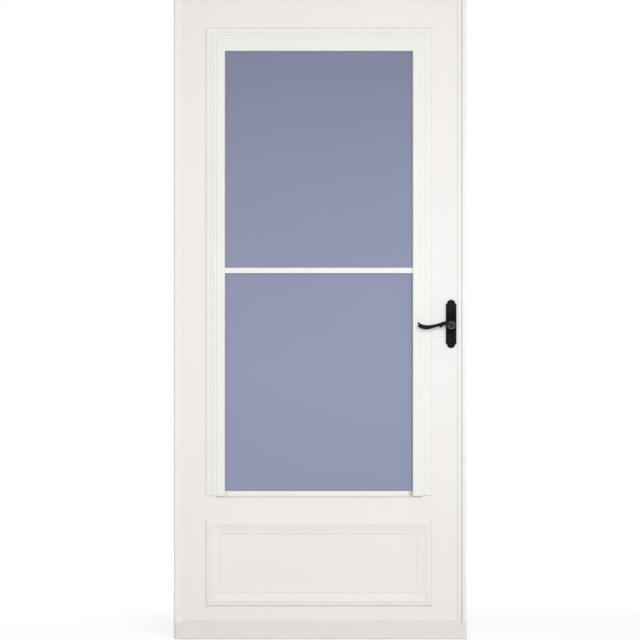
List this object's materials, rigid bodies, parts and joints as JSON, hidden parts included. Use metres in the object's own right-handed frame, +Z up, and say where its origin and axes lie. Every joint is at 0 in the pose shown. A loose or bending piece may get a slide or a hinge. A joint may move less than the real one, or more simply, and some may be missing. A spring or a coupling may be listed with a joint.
{
  "type": "storm door",
  "caption": "White mid-view storm door with a self-storing window, a dark lever set and its three-sided mounting frame; the leaf swings outward on a full-length hinge.",
  "frame": {"origin": "on the back of the hinge side flange, level with the foot of the frame", "axes": "+X from the hinge side to the latch side, +Z up, -Y out of the house towards the viewer"},
  "size_m": [0.9315, 0.1248, 2.058],
  "materials": {
    "white_skin": "white smooth skin over a wood core, satin",
    "white_vinyl": "white vinyl, satin",
    "white_aluminium": "white baked enamel on aluminium",
    "shade_white_aluminium": "white enamel on aluminium, a shade darker",
    "tinted_glass": "clear glass that reflects a blue grey sky",
    "screen_mesh": "charcoal fibreglass screen",
    "dark_bronze": "dark bronze, satin",
    "zinc_steel": "zinc plated",
    "grey_pile": "woven pile",
    "grey_vinyl": "flexible vinyl"
  },
  "bodies": {
    "frame": {"hinge_z_bar": "white_aluminium", "latch_z_bar": "white_aluminium", "header_z_bar": "white_aluminium", "hinge_weatherstrip": "grey_pile", "latch_weatherstrip": "grey_pile", "header_weatherstrip": "grey_pile", "frame_hinge_leaf": "white_aluminium", "hinge_pin": "zinc_steel", "strike_plate": "zinc_steel"},
    "door": {"door_slab": "white_skin", "latch_edge_rail": "white_aluminium", "door_hinge_leaf": "white_aluminium", "window_trim_left": "white_vinyl", "window_trim_right": "white_vinyl", "window_trim_top": "white_vinyl", "left_track": "white_vinyl", "right_track": "white_vinyl", "window_head": "white_vinyl", "window_sill": "white_vinyl", "upper_sash": "white_aluminium", "upper_glass": "tinted_glass", "lower_sash": "white_aluminium", "lower_glass": "tinted_glass", "screen_frame": "white_aluminium", "insect_screen": "screen_mesh", "inside_casing": "white_vinyl", "outside_panel": "white_skin", "inside_panel": "white_skin", "bottom_expander": "shade_white_aluminium", "bottom_sweep": "grey_vinyl", "latch_faceplate": "zinc_steel", "latch_bolt": "zinc_steel", "outside_escutcheon": "dark_bronze", "inside_escutcheon": "dark_bronze", "sash_latches": "white_vinyl", "lock_turn": "dark_bronze"},
    "levers": {"outside_lever": "dark_bronze", "inside_lever": "dark_bronze", "spindle": "zinc_steel"}
  },
  "joints": [
    {"name": "door_swing", "type": "hinge", "parent": "frame", "child": "door", "pos_m": [-0.002, -0.007, 1], "axis": [0, 0, -1], "range_deg": [0, 90]},
    {"name": "lever_turn", "type": "hinge", "parent": "door", "child": "levers", "pos_m": [0.8717, 0.004, 0.9962], "axis": [0, -1, 0], "range_deg": [0, 45], "stiffness_Nm_per_rad": 0.4, "springref_deg": -68.75}
  ]
}
